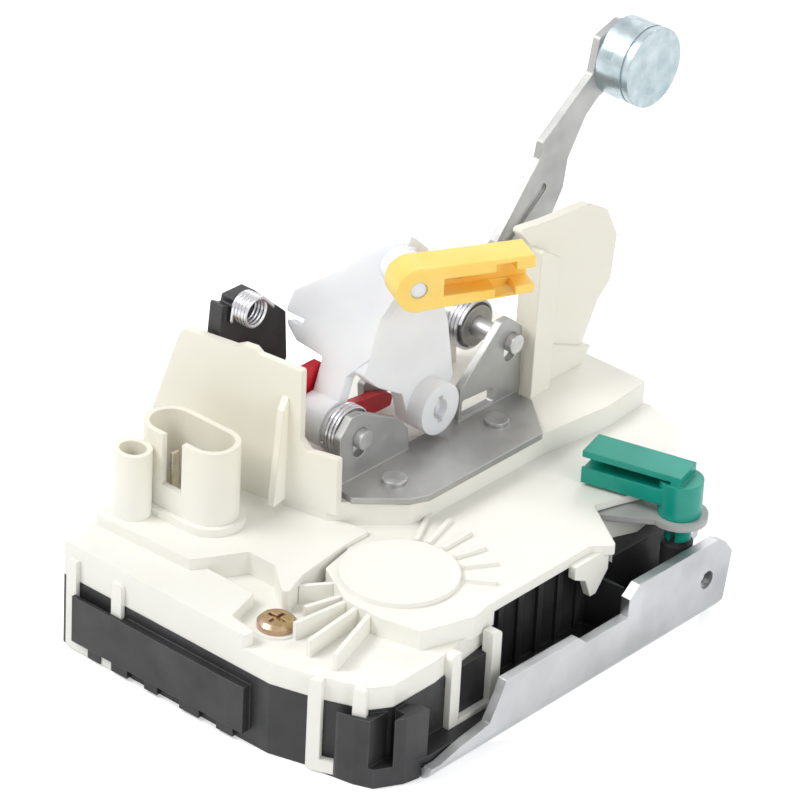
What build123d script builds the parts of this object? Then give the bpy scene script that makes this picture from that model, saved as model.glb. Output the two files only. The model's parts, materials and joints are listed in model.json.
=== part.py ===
from build123d import *
import math
import os

# Door latch actuator. Millimetres. +Z points from the latch plate up through the
# plastic casings; the origin is the front fixing hole, on the plate's outer face;
# +Y runs along the plate's turned-up flange and +X points out through that flange.

os.makedirs("parts", exist_ok=True)

# ---------------------------------------------------------------- driving sizes
# fits
run_gap = 0.06          # radial clearance of a lever on its pin
seat_gap = 0.30         # clearance between pieces that only lie beside each other
wall = 2.0              # moulded wall of both casings

# latch plate
plate_t = 2.5
bend_r = 3.6            # outer bend radius of the flange
flange_face = 48.5      # outer face of the flange
flange_front = -59.5
flange_back = 45.0
slot_half = 7.5         # half width of the striker slot
slot_end = 27.0         # y of the bottom of the striker slot
thread_r = 2.5          # M6 core
collar_wall = 2.0
collar_h = 3.5
eye_y, eye_z, eye_r = 37.2, 10.7, 2.3
fixing_holes = [(0.0, 0.0), (-31.0, 55.0), (18.0, 52.0)]

# casing levels
rim_z = 18.4            # where the white cover meets the black base
floor_t = 2.0
ledge_z = 5.0           # low ledge of the base beside the flange
pocket_z = 9.6          # roof of the latch pocket
channel_z = 16.0        # roof of the striker channel
terrace_z = 24.0
shelf_z = 27.2
deck_z = 29.0
plinth_z = 30.0
block_z = 34.9
recess_z = 26.4         # top of the base's set-back wall

# casing outline
left_x = -50.0
front_y = -76.7
rear_y = 65.5
recess_x = 34.0         # set-back wall of the base beside the flange
recess_y0, recess_y1 = -27.0, 9.0
notch_y0, notch_y1 = 11.0, 41.0

# pins of the lever group, all along X
pin_r = 2.4
pin_a_y, pin_a_z = -18.8, 46.6
pin_b_y, pin_b_z = 34.0, 51.2
hub_r = 6.0
bearing_t = 2.5
ear_face = -12.0        # outer face of the bracket's ears
bracket_t = 1.6
ear_t = 2.0
pin_proud = 2.0
rivet_r = 3.0

# levers along the pins, from the ears towards the connector side
coil_a_x = -14.4
lever_x = -19.5         # near face of the outside lever's hub
lever_hub_len = 8.0
link_x, link_t = -28.2, 2.4
inside_x, inside_t = -43.0, 3.8
arm_x, arm_t = -31.0, 2.0
coil_b_x = -22.6
web_t = 3.0
blade_x, blade_t = -14.7, 3.8

# torsion springs
wire_r = 0.5
coil_gap = 0.1            # clear gap between neighbouring turns of a coil
coil_pitch = 2 * wire_r + coil_gap
coil_sides = 18          # lengths of wire in one turn of a coil
coil_r = 6.1
spool_r = coil_r * math.cos(math.pi / coil_sides) - wire_r - seat_gap

# counterweight
weight_y, weight_z = 93.1, 99.7
weight_r = 10.1
weight_len = 10.0

# drive
wheel_x, wheel_y = 15.8, -35.3
wheel_z, wheel_w = 15.0, 6.0
wheel_r = 12.0
worm_r = 3.2
worm_len = 15.0
shaft_r = 1.0
motor_len, motor_w, motor_h = 26.0, 20.0, 15.4
motor_x = -14.0         # shaft end of the motor can
dome_r = 13.9
snap_leg = 3.2
motor_y = wheel_y - wheel_r - worm_r

# fixings
screw_x, screw_y = 5.8, -65.1
screw_seat = 24.4
rivets = [(-4.6, -14.6), (-5.8, 22.8)]

# latch mechanism, pins along Z
claw_x, claw_y = -15.0, 30.0
claw_lip = 6.0           # reach of the jaws past the striker's line
claw_r = claw_lip - claw_x
claw_t = 4.0
claw_hub_r = 9.5
claw_open = 40.0        # direction of the claw's slot when open, degrees from +X
striker_r = 5.0
claw_pin_r = 4.0
pawl_x, pawl_y = 16.5, 31.0
pawl_pin_r = 3.0
pawl_hub_r = 6.2
pawl_half = 2.6          # half width of the pawl's arm
pawl_lift = 11.0         # turn of the pawl from engaged to lifted, degrees
claw_travel = 40.0       # turn of the claw from open to closed, degrees
claw_step = 3.0          # depth of the ratchet step
step_face = -45.0        # face of the ratchet step, degrees from the slot
jaw_end = -66.0          # end of the jaw behind the step, degrees from the slot
tooth_span = 11.0        # width of the pawl's tooth, degrees about the claw
knee_turn = 25.0         # bend of the pawl's arm, degrees about the claw from the step
rim_gap = 1.0            # clearance of the pawl's arm round the claw's rim
pocket_gap = 1.0         # clearance round the claw and the pawl in their pocket

# lock lever and its rod clip
lock_x, lock_y = 22.5, 21.5
disc_x, disc_y, disc_r = 40.5, 35.0, 6.8
lock_z, lock_t = 25.2, 1.6
foot_r = 3.2
deck_gap = 1.0           # clearance of the rod clip above the deck
clip_z = deck_z + deck_gap

# rod clip of the outside lever
swivel = Vector(-7.4, -8.3, 84.9)
swivel_turn = -28.6     # its swivel axis, degrees from +X


# ---------------------------------------------------------------- helpers
def box(x0, x1, y0, y1, z0, z1):
    """Block between two corners."""
    size = (x1 - x0, y1 - y0, z1 - z0)
    return Pos((x0 + x1) / 2, (y0 + y1) / 2, (z0 + z1) / 2) * Box(*size)


def poly(points, corner=0.0):
    """Closed outline, with every corner rounded by one radius when it is given."""
    face = make_face(Polyline(*points, close=True))
    return fillet(face.vertices(), corner) if corner else face


def slab(face, z0, z1):
    """A flat outline raised from z0 to z1."""
    return Pos(0, 0, z0) * extrude(face, amount=z1 - z0, dir=(0, 0, 1))


def side(face, x0, x1):
    """An outline drawn in (y, z), given thickness from x0 to x1."""
    return Pos(x0, 0, 0) * extrude(Plane.YZ * face, amount=x1 - x0, dir=(1, 0, 0))


def rod_x(y, z, r, x0, x1):
    """Round bar along X."""
    return side(Pos(y, z) * Circle(r), x0, x1)


def rod_z(x, y, r, z0, z1):
    """Round bar along Z."""
    return slab(Pos(x, y) * Circle(r), z0, z1)


def strip(x0, y0, x1, y1, half):
    """Flat bar outline with round ends between two points."""
    run = math.hypot(x1 - x0, y1 - y0)
    turn = math.degrees(math.atan2(y1 - y0, x1 - x0))
    middle = Pos((x0 + x1) / 2, (y0 + y1) / 2) * Rot(0, 0, turn)
    return middle * SlotCenterToCenter(run, 2 * half)


def coil_x(y, z, x0, turns, way, radius=coil_r):
    """Coil of straight mitred lengths of wire, wound from x0 along X (way 1) or against it (-1)."""
    lengths = turns * coil_sides
    points = []
    for k in range(lengths + 1):
        turn = 2 * math.pi * k / coil_sides
        along = way * coil_pitch * k / coil_sides
        points.append((radius * math.cos(turn), radius * math.sin(turn), along))
    path = Polyline(*points)
    section = Plane(origin=path @ 0, z_dir=path % 0) * RegularPolygon(wire_r, 6)
    wire = sweep(section, path=path, transition=Transition.RIGHT)
    return Pos(x0, y, z) * Rot(0, 90, 0) * wire


def save(shape, node):
    """Write one node to its own STEP file."""
    shape.label = node
    export_step(shape, f"parts/{node}.step")


# ---------------------------------------------------------------- outlines
casing_front = [(left_x, front_y), (14.8, front_y), (25.8, -73.5), (37.2, -68.7),
                (40.1, -64.0), (40.1, recess_y0 - 1)]
casing_rear = [(28.5, 48.6), (18.0, 61.0), (7.0, rear_y), (left_x, rear_y)]
base_outline = casing_front + [(recess_x, recess_y0), (recess_x, recess_y1), (45.0, notch_y0),
                               (45.0, notch_y1)] + casing_rear
cover_notch = [(42.0, 10.0), (27.0, 20.0), (29.0, 27.0), (31.0, 32.0)]
skirt_x = recess_x - wall - seat_gap


# ---------------------------------------------------------------- latch plate
def latch_plate():
    """Pressed steel plate: shut-face leg with the striker slot, and a turned-up flange."""
    bend_x = flange_face - bend_r
    leg = poly([(4, flange_front), (bend_x, flange_front), (bend_x, flange_back - 4), (36, 44),
                (28, 51), (24, rear_y), (-35, rear_y), (-43, 57), (-43, 10), (-12, -22)])
    flat = slab(leg, 0, plate_t)
    ring = Pos(bend_x, bend_r) * (Circle(bend_r) - Circle(bend_r - plate_t))
    quarter = ring & (Pos(bend_x + bend_r / 2, bend_r / 2) * Rectangle(bend_r, bend_r))
    upright = Pos(flange_face - plate_t / 2, 15) * Rectangle(plate_t, 2 * (15 - bend_r))
    bent = extrude(Plane.XZ * (quarter + upright), amount=-(flange_back + 2 - flange_front))
    bent = Pos(0, flange_front, 0) * bent
    outline = poly([(flange_front, 0), (flange_front, 3.5), (-56.8, 3.3), (-50.2, 5), (-40.1, 6.6),
                    (-36.5, 12.7), (-35, 15.8), (-9.5, 15.5), (-6.8, 13.2), (7.9, 13.3),
                    (8.1, 18.1), (11.4, 20.7), (40.2, 20.3), (43, 18.9), (46.1, 15.1),
                    (43.9, 2.2), (flange_back - 4, 0)])
    flange = bent & side(outline, bend_x - 1, flange_face + 1)
    plate = flat + flange
    mouth = poly([(-slot_half, rear_y - 9), (slot_half, rear_y - 9), (slot_half + 4, rear_y + 1),
                  (-slot_half - 4, rear_y + 1)])
    slot = strip(0, slot_end + slot_half, 0, rear_y + 20, slot_half)
    plate -= slab(slot, -1, plate_t + 1) + slab(mouth, -1, plate_t + 1)
    for x, y in fixing_holes:
        plate += rod_z(x, y, thread_r + collar_wall, plate_t, plate_t + collar_h)
    for x, y in fixing_holes:
        plate -= rod_z(x, y, thread_r, -1, plate_t + collar_h + 1)
    plate -= rod_x(eye_y, eye_z, eye_r, flange_face - 5, flange_face + 1)
    plate -= rod_z(claw_x, claw_y, claw_pin_r - 1, -1, plate_t + 1)
    plate -= rod_z(pawl_x, pawl_y, pawl_pin_r - 1, -1, plate_t + 1)
    return plate


# ---------------------------------------------------------------- base housing
def snap_places():
    """Where the cover's three snap arms hang: place, width, height and thickness."""
    facing = Plane.XZ.location
    return [
        (Pos(-38.8, front_y, terrace_z) * facing, 17.5, 23.6, 1.2),
        (Pos(30.8, -71.4, terrace_z) * Rot(0, 0, 22.8) * facing, 13.6, 23.6, 1.8),
        (Pos(40.1, -38, terrace_z) * Rot(0, 0, 90) * facing, 17, 21.1, 1.8),
    ]


step_closed = claw_open - claw_travel + step_face
pawl_path = claw_r + rim_gap + pawl_half
tooth_from = step_closed + math.degrees(seat_gap / (claw_r - claw_step))


def about_claw(radius, angle):
    """Point at a distance and direction from the claw's centre."""
    turn = math.radians(angle)
    return claw_x + radius * math.cos(turn), claw_y + radius * math.sin(turn)


def turned_pawl(angle):
    """Turn about the pawl's pin from the engaged place."""
    return Pos(pawl_x, pawl_y) * Rot(0, 0, angle) * Pos(-pawl_x, -pawl_y)


def pawl_reach():
    """End of the pawl's arm half way through its lift."""
    heel = about_claw(pawl_path, tooth_from + tooth_span / 2)
    middle = (turned_pawl(pawl_lift / 2) * Pos(*heel)).position
    return middle.X, middle.Y


def base_housing():
    """Black moulded tray: latch pocket below, motor and gear cavity above."""
    base = slab(poly(base_outline, 1.0), 0, rim_z)
    ledge = poly([(26, -74.2), (36.3, -72.3), (40.9, -70.4), (44.4, -64.1), (45.7, -57.6),
                  (45.7, notch_y0), (30, notch_y0), (30, -60)])
    base += slab(ledge, 0, ledge_z)
    front = poly([(left_x + wall, front_y + wall), (14.5, front_y + wall), (25.2, -71.6),
                  (35.6, -67.2), (38, -63), (38, recess_y0 - 3), (recess_x - wall, recess_y0 - 1),
                  (recess_x - wall, 4), (left_x + wall, 4)])
    base -= slab(front, plate_t + floor_t, rim_z + 1)
    rear = poly([(left_x + wall, 6), (recess_x - wall, 6), (recess_x - wall, 12), (29, 14), (26, 46),
                 (17, 58.7), (6.5, rear_y - wall), (left_x + wall, rear_y - wall)])
    base -= slab(rear, pocket_z + floor_t, rim_z + 1)
    base += box(-slot_half - wall, slot_half + wall, slot_end - 5, rear_y, pocket_z, rim_z - 0.4)
    pocket = Pos(claw_x, claw_y) * Circle(claw_r + pocket_gap)
    pocket += strip(pawl_x, pawl_y, *pawl_reach(), pawl_hub_r + pocket_gap)
    pocket += strip(claw_x, claw_y, pawl_x, pawl_y, pawl_hub_r + pocket_gap)
    base -= slab(pocket, -1, pocket_z)
    channel = strip(0, slot_end + slot_half, 0, rear_y + 20, slot_half)
    base -= slab(channel, -1, channel_z)
    base -= box(-60, 44.9, flange_front - 0.3, rear_y + 5, -1, plate_t)
    base -= box(44, 60, flange_front - 0.3, rear_y + 5, -1, plate_t + 0.5)
    for x, y in fixing_holes:
        base += rod_z(x, y, thread_r + collar_wall + 2 * wall, plate_t, pocket_z + floor_t)
        base -= rod_z(x, y, thread_r + collar_wall + 0.2, -1, pocket_z)
    base += box(recess_x - wall, recess_x, recess_y0 - 1, recess_y1 + 2, rim_z - 6, recess_z)
    for k in range(5):
        y = recess_y0 + 5 + 7 * k
        base += box(recess_x - 0.5, recess_x + 1.2, y - 0.8, y + 0.8, ledge_z - 1, recess_z - 1)
    base -= box(recess_x, 60, recess_y1 + 2, rear_y, ledge_z, rim_z + 1)
    base += box(-44.6, 9, front_y - 2.3, front_y + 1, 3.4, 15.5)
    for x, width in [(-38, 4), (-30, 5), (-20, 4), (-8, 6), (3, 5)]:
        base += box(x - width / 2, x + width / 2, front_y - 1.6, front_y + 1, 0.6, 4)
    corner = poly([(27, -74), (36.3, -72.3), (40.9, -70.4), (44.4, -64.1), (45.4, -57.8),
                   (42, -57.8), (36, -66), (28, -70)])
    ribs = slab(corner, ledge_z - 1, rim_z - 1)
    ribs -= box(39.5, 43, -75, -63, ledge_z, rim_z)
    base += ribs
    base -= slab(front, plate_t + floor_t, rim_z + 1)
    base += rod_z(screw_x, screw_y, 4, plate_t, rim_z)
    base -= rod_z(screw_x, screw_y, 1.75, screw_seat - 15, rim_z + 1)
    base += box(25.5, 28.5, motor_y - 3, motor_y + 3, plate_t, wheel_z + 3)
    base -= rod_x(motor_y, wheel_z, shaft_r + run_gap, 25, 31)
    for place, width, height, thickness in snap_places():
        pocket = Pos(0, -height / 2, thickness / 2) * Box(width + 0.6, height + 0.6, thickness + 0.2)
        base -= place * pocket
    base += rod_z(wheel_x, wheel_y, 4.5, plate_t, wheel_z - wheel_w / 2 - seat_gap)
    base -= rod_z(wheel_x, wheel_y, 1.5 + run_gap, plate_t + 1.5, rim_z)
    base += box(motor_x - motor_len + 3, motor_x - motor_len + 5, -62, -40, plate_t, 7)
    base += box(motor_x - 5, motor_x - 3, -62, -40, plate_t, 7)
    return base


# ---------------------------------------------------------------- cover housing
full_face = casing_front[:-1] + [(40.1, -50), (37, recess_y0 - 1), (skirt_x, recess_y0 - 1),
                                 (skirt_x, 9), (33, 16)] + cover_notch[1:] + casing_rear
deck_face = [(2, -45), (14.1, -51.7), (24.6, -51.7), (34.9, -49.3), (39.1, -36.2),
             (38.2, -30.6), (38, 5.5)] + cover_notch + casing_rear + [(left_x, -35), (0, -35)]
plinth_face = [(left_x, -66.6), (-20.7, -65.5), (-13.6, -53.3), (-5.8, -53.4), (5, -62),
               (1.4, -51.9), (-0.6, -35.6), (-0.6, -27), (left_x, -36)]
shelf_face = [(left_x, front_y), (7, front_y), (7, -73.6), (-1, -72.4), (-4, -62), (left_x, -62)]
block_face = [(left_x, -37.7), (-10.8, -30.8), (-7.8, -27.9), (2.6, -17.2), (3.8, -13.4),
              (3.9, 28.3), (6.3, 50.3), (5, rear_y), (left_x, rear_y)]


def deck(points, bottom, top, corner=1.0):
    """One raised level of the cover and the hollow below it."""
    face = poly(points, corner)
    inner = offset(face, amount=-wall)
    return slab(face, bottom, top), slab(inner, rim_z - 1, top - wall)


def tower():
    """Standing wall beside the counterweight, with its front pillar."""
    sheet = poly([(39, block_z - 1), (39.8, 74.7), (34.7, 80.2), (45, 78.8), (61.2, 77.7),
                  (68.3, 73.7), (72.6, 65.4), (71.2, 53.7), (67, 49.8), (61.7, 39.4),
                  (53.4, 36.4), (52.8, block_z - 1)], 0.8)
    wall_sheet = side(sheet, -15.2, -12.6)
    pillar = poly([(39, block_z - 1), (39.8, 74.7), (47.3, 70), (46.6, 52), (46, block_z - 1)], 0.8)
    foot = poly([(46, block_z - 1), (46, 46), (60, 40), (64, 39), (60, block_z - 1)], 0.5)
    return wall_sheet + side(pillar, -15.2, -9.0) + side(foot, -15.2, -11.4)


def bearing(y, z, x0, x1, half, foot):
    """Wall with a round head that holds the end of a lever pin."""
    post = poly([(y - half - 1, foot), (y - half, z), (y + half, z), (y + half + 1, foot)])
    return side(post, x0, x1) + rod_x(y, z, half, x0, x1)


def socket(x, y, length, width, z0, z1, thickness):
    """Open oval tower for a plug."""
    outer = Pos(x, y) * SlotOverall(length, width)
    inner = Pos(x, y) * SlotOverall(length - 2 * thickness, width - 2 * thickness)
    return slab(outer, z0, z1), slab(inner, z0 + 2.5, z1 + 1)


def screen():
    """Upright wall behind the connector, seen as an outline along its own length."""
    outline = poly([(0, block_z - 3), (-9, 43), (-1.7, 66), (0, 67), (13, 67), (15.5, 68.2),
                    (18.5, 68.2), (20, 67), (31.5, 66.5), (31.7, 48.7), (34, 46.3),
                    (42, 46.8), (42.2, block_z - 3)], 0.6)
    sheet = extrude(Plane.XZ * outline, amount=wall, dir=(0, 1, 0))
    rib = poly([(0.2, block_z - 3), (-5, block_z - 3), (-2, 56), (0.2, 59)])
    gusset = Pos(26.5, 0, 0) * extrude(Plane.YZ * rib, amount=1.8, dir=(1, 0, 0))
    boss = Pos(12, wall, 0) * slab(Circle(3.4) & (Pos(0, 2) * Rectangle(8, 4)), block_z - 3, 60)
    return Pos(left_x + 0.3, -37.7, 0) * Rot(0, 0, 10) * (sheet + gusset + boss)


def snap_arm(place, width, height, thickness):
    """U-shaped snap arm: two legs rooted in the cover's skirt, and a bar below."""
    outer = Pos(0, -height / 2) * RectangleRounded(width, height, 1.2)
    window = Pos(0, -height / 2 + snap_leg / 2) * Rectangle(width - 2 * snap_leg,
                                                           height - snap_leg + 0.02)
    skirt_h = terrace_z - rim_z
    root = (outer - window) & (Pos(0, -skirt_h / 2) * Rectangle(width, skirt_h))
    return place * (extrude(outer - window, amount=thickness) + extrude(root, amount=-1.2))


def fan(x, y, inner, low, high):
    """Radial stiffening rib beside the dome, from its centre towards (x, y)."""
    turn = math.degrees(math.atan2(y - wheel_y, x - wheel_x))
    reach = math.hypot(x - wheel_x, y - wheel_y)
    rib = box(inner, reach, -0.6, 0.6, low, high)
    return Pos(wheel_x, wheel_y, 0) * Rot(0, 0, turn) * rib


def cover_housing():
    """White moulded cover: stepped decks, dome, connector towers, screen and clips."""
    levels = [deck(full_face, rim_z, terrace_z), deck(deck_face, terrace_z - 1, deck_z),
              deck(plinth_face, terrace_z - 1, plinth_z), deck(shelf_face, terrace_z - 1, shelf_z),
              deck(block_face, terrace_z - 1, block_z)]
    shell = levels[0][0]
    for solid, hollow in levels[1:]:
        shell += solid
    shell += rod_z(wheel_x, wheel_y, dome_r, terrace_z - 1, deck_z + 1.2)
    shell -= rod_z(wheel_x, wheel_y, dome_r - wall, terrace_z - 4, deck_z - wall + 1.2)
    for solid, hollow in levels:
        shell -= hollow
    shell -= box(wheel_x - 9, wheel_x + 10, wheel_y + 8, lock_y, rim_z, deck_z - wall)
    shell -= box(skirt_x, 45, recess_y0 - 1.3, recess_y1 + 2.3, rim_z - 1, recess_z + 0.1)
    shell -= box(22, 36, 11.5, 46, lock_z - seat_gap, lock_z + lock_t + seat_gap)
    shell -= box(motor_x - motor_len - 3, motor_x + 3, motor_y - 11, motor_y + 11, rim_z - 1,
                 wheel_z + motor_h / 2 + seat_gap)
    shell += rod_z(screw_x, screw_y, 5.6, rim_z, screw_seat)
    shell -= rod_z(screw_x, screw_y, 1.75, rim_z - 1, screw_seat + 1)
    for x, y in rivets:
        shell -= rod_z(x, y, rivet_r - 1, block_z - 6, block_z + 1)
    shell += tower() + screen()
    main, main_hole = socket(-36, -49.5, 26, 13, plinth_z - 1, 51, 1.5)
    flange, _ = socket(-36, -49.5, 29, 16, plinth_z - 1, plinth_z + 2, 1.5)
    small, small_hole = socket(-44.5, -60, 9.4, 8.4, plinth_z - 3.5, 47, 1.4)
    shell += main + flange + small
    shell -= main_hole
    shell -= small_hole
    shell -= box(-39, -33, -58, -54, plinth_z + 8, 52)
    shell += bearing(pin_a_y, pin_a_z, left_x, left_x + bearing_t, 6, block_z - 1)
    shell -= rod_x(pin_a_y, pin_a_z, pin_r + 0.02, left_x - 1, left_x + bearing_t + 1)
    post_x = arm_x - arm_t - seat_gap
    shell += bearing(pin_b_y, pin_b_z, post_x - 4, post_x, 5, block_z - 1)
    shell -= rod_x(pin_b_y, pin_b_z, pin_r + 0.02, post_x - 5, post_x + 1)
    for x, y in [(3.2, -10.6), (8.5, -9.6), (15.5, -10.6), (22.1, -13.1), (28.3, -16), (33.8, -22.5)]:
        shell += fan(x, y, dome_r + 1, deck_z - 1, deck_z + 1)
    for x, y in [(2, -54), (9, -59.5), (12, -66), (19, -69), (27, -69)]:
        shell += fan(x, y, dome_r - 0.5, terrace_z - 1, deck_z - 0.6)
    for place, width, height, thickness in snap_places():
        shell += snap_arm(place, width, height, thickness)
    hook = poly([(-2, shelf_z), (10, shelf_z), (10, 22), (6, 17), (4, 17), (2, 22), (-2, 24)])
    shell += side(hook, 38.0, 40.0)
    return shell


# ---------------------------------------------------------------- bracket and pins
ear_back = ear_face - ear_t
block_top = block_z + bracket_t


def pivot_bracket():
    """Folded steel bracket: a base leg on the cover and two slotted ears."""
    leg = poly([(ear_back, -26.4), (-6.3, -27.3), (3.3, -18.1), (5.3, -13.5), (5.2, 26.7),
                (-6.6, 36.6), (ear_back, 36.6)], 0.8)
    left = poly([(-25.1, block_z), (-25.8, 48.8), (-22, 53.1), (-18.6, 52.8), (-5.8, 46.5),
                 (-2, 42.3), (-1.3, block_z)], 1.2)
    right = poly([(16.2, block_z), (16.4, 44.8), (30.2, 57.8), (33.3, 57.7), (37.8, 54),
                  (38.2, block_z)], 1.2)
    arch = poly([(17.1, block_top + 0.6), (17.1, 41.8), (28.3, 41.1), (28.7, block_top + 0.6)], 0.8)
    bracket = slab(leg, block_z, block_top)
    bracket += side(left, ear_back, ear_face) + side(right - arch, ear_back, ear_face)
    for y, z in [(pin_a_y, pin_a_z), (pin_b_y, pin_b_z)]:
        oval = strip(y, z, y, z - 2.6, pin_r + run_gap)
        bracket -= side(oval, ear_back - 1, ear_face + 1)
    for x, y in rivets:
        bracket -= rod_z(x, y, rivet_r - 1, block_z - 1, block_top + 1)
    return bracket


def bracket_rivets():
    """Two headed rivets that hold the bracket's base leg to the cover."""
    head = [rod_z(x, y, rivet_r, block_top, block_top + 1.0) for x, y in rivets]
    shank = [rod_z(x, y, rivet_r - 1, block_z - 6, block_top + 0.5) for x, y in rivets]
    return head[0] + shank[0], head[1] + shank[1]


def lever_pin(y, z, far_x):
    """Headed steel pin, upset at its ear end."""
    near = ear_face + pin_proud
    return rod_x(y, z, pin_r, far_x, near)


# ---------------------------------------------------------------- outside lever
web_plane = Plane(origin=(0, pin_a_y, pin_a_z), x_dir=(1, 0, 0), z_dir=(0, -0.937, 0.349))
hub_x1 = lever_x
hub_x0 = lever_x - lever_hub_len


def outside_lever():
    """Wide white bell crank: hub, tilted web with two lobes, side blade, boss and peg."""
    outline = poly([(hub_x0, 0), (hub_x0, 14), (-36, 14.8), (-39.5, 17.2), (-41.2, 21), (-40.6, 25.5),
                    (-28.8, 35), (-23.5, 41.3), (-17.4, 45.5), (-12.5, 46), (-12.5, 34),
                    (blade_x, 28), (blade_x, 18), (hub_x1, 12), (hub_x1, 0)], 0.6)
    web = web_plane * extrude(outline, amount=web_t / 2, both=True)
    slot = web_plane * extrude(Pos(-39.5, 19.3) * Rectangle(8, 1.8), amount=web_t, both=True)
    web -= slot
    blade = poly([(-15.4, 60), (-1, 91.5), (5, 86), (13.5, 64), (16.6, 48), (13, 42), (7, 38.5),
                  (1, 42.5), (-1.5, 50), (-10, 55)], 1.0)
    lever = web + side(blade, blade_x - blade_t, blade_x)
    lever += rod_x(7, 44.5, 6.5, blade_x - blade_t, -10)
    lever += rod_x(pin_a_y, pin_a_z, hub_r, hub_x0, hub_x1)
    lever += rod_x(pin_a_y, pin_a_z, spool_r, hub_x1 - 1, coil_a_x + 0.2)
    lever += rod_x(6, 47, 1.7, arm_x - arm_t - 0.3, blade_x - 1)
    lever -= rod_x(pin_a_y, pin_a_z, pin_r + run_gap, hub_x0 - 1, ear_face)
    lever -= side(Pos(7, 44.5) * Rectangle(1.4, 7), -12.5, -9)
    lever -= rod_x(7, 44.5, 2.4, -12, -9)
    seat = swivel_frame * Pos(0, 0, -6.5) * Cylinder(5.0, 4.4)
    stem = swivel_frame * Pos(0, 0, -3.4) * Cylinder(2.0, 14)
    return lever + seat + stem


swivel_frame = Pos(swivel) * Rot(0, 0, swivel_turn) * Rot(0, 90, 0)


def rod_clip(length, half, depth, bore):
    """Snap clip for a rod: round bored end, open jaws and a catch recess along +X."""
    body = poly([(0, -half), (length, -half + 1.2), (length, half), (0, half)], 0.8)
    solid = extrude(body, amount=depth / 2, both=True)
    solid += extrude(Circle(half + 0.1), amount=depth / 2, both=True)
    solid -= extrude(Circle(bore), amount=depth, both=True)
    return solid


def yellow_clip():
    """Plastic rod clip on the outside lever: bored end, channel and two jaws."""
    half, depth = 5.4, 8.0
    solid = rod_clip(28, half, depth, 2.0 + run_gap)
    solid -= Pos(18, 0, 2.2) * Box(24, 4.4, depth - 1.2)
    solid -= Pos(21, 0, 3.2) * Box(5, 8.4, depth)
    solid -= Pos(10.5, 0, 0) * Box(4.5, 2.2, 3 * depth)
    return solid


# ---------------------------------------------------------------- other levers
def inside_lever():
    """Black flat lever behind the outside lever, with the link spring's spindle."""
    blade = poly([(-33.9, 64.7), (-33, 74.3), (-29.6, 72.5), (-29.3, 74.5), (-22.6, 74.4),
                  (-11.4, 64.4), (-10.5, 52), (-13, 44), (-23, 42), (-26.5, 50)], 0.5)
    lever = side(blade, inside_x - inside_t, inside_x)
    lever += rod_x(pin_a_y, pin_a_z, hub_r, inside_x - inside_t, inside_x + 3)
    lever += rod_x(-26.9, 72.1, 2.6, inside_x - 1, inside_x + 1.4)
    lever -= rod_x(pin_a_y, pin_a_z, pin_r + run_gap, -60, 0)
    lever -= side(Pos(-20, 60) * SlotOverall(9, 2.4), -60, inside_x - inside_t + 1.5)
    return lever


def lock_link():
    """Red plastic link beside the outside lever, on the same pin."""
    blade = poly([(-23, 51), (-22, 58.2), (-14.5, 58.2), (-12, 52), (-4, 42.5),
                  (5, 41.5), (11, 39.5), (10.5, 36.6), (0, 36.8), (-12, 40.3)], 0.8)
    link = side(blade, link_x - link_t, link_x) + rod_x(pin_a_y, pin_a_z, hub_r, link_x - 5, link_x)
    return link - rod_x(pin_a_y, pin_a_z, pin_r + run_gap, -60, 0)


def counterweight_lever():
    """Steel arm, kinked and ribbed, from its pivot eye to the weight."""
    far_x = arm_x - arm_t
    arm = poly([(28.5, 55), (49.9, 64.5), (64.2, 81.7), (65, 85.7), (82.4, 98.1), (84.2, 107),
                (92, 109.4), (101, 106), (101, 96), (85.4, 91.2), (80.8, 87.7), (75, 78.2),
                (73.8, 70.7), (69, 62.7), (39.5, 46), (30, 45.4), (12, 38.4), (4, 39.2),
                (3.6, 44.0), (14, 44.8)], 1.2)
    lever = side(arm, far_x, arm_x)
    lever += rod_x(pin_b_y, pin_b_z, spool_r, arm_x - 0.5, coil_b_x)
    lever -= rod_x(pin_b_y, pin_b_z, pin_r + run_gap, -60, 0)
    groove = strip(44, 56, 66, 73, 1.4)
    lever -= side(groove, arm_x - 0.6, arm_x + 1)
    lever -= rod_x(weight_y, weight_z, 2.5, -60, 0)
    return lever


def counterweight_mass():
    """Plated cylinder with a turned groove at its rim, riveted to the arm."""
    body = rod_x(weight_y, weight_z, weight_r, arm_x, arm_x + weight_len)
    body -= rod_x(weight_y, weight_z, weight_r + 1, arm_x + 7.6, arm_x + 8.2) - rod_x(
        weight_y, weight_z, weight_r - 0.4, arm_x + 7, arm_x + 9)
    body += rod_x(weight_y, weight_z, 2.5, arm_x - arm_t - 1.0, arm_x + 1)
    return body + rod_x(weight_y, weight_z, 3.8, arm_x - arm_t - 1.2, arm_x - arm_t)


# ---------------------------------------------------------------- latch mechanism
def ring_sector(radius, start, end, steps=12):
    """Pie outline from a centre at the origin."""
    points = [(0, 0)]
    for k in range(steps + 1):
        a = math.radians(start + (end - start) * k / steps)
        points.append((radius * math.cos(a), radius * math.sin(a)))
    return poly(points)


claw_z = plate_t + seat_gap


def claw_outline():
    """Fork seen from above: two jaws, a radial slot for the striker and a ratchet step."""
    jaws = Circle(claw_r) & ring_sector(2 * claw_r, claw_open + jaw_end, claw_open + 60)
    step = (Circle(2 * claw_r) - Circle(claw_r - claw_step)) & ring_sector(
        2 * claw_r, claw_open + step_face, claw_open)
    run = 2 * claw_r
    slot = Pos(run / 2 - claw_x, 0) * SlotOverall(run + 2 * striker_r, 2 * striker_r)
    return Circle(claw_hub_r) + (jaws - step - Rot(0, 0, claw_open) * slot)


def claw():
    """Steel claw, turning on its pin in the latch pocket."""
    shape = slab(claw_outline(), claw_z, claw_z + claw_t)
    shape -= rod_z(0, 0, claw_pin_r + run_gap, 0, 20)
    return Pos(claw_x, claw_y, 0) * shape


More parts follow.
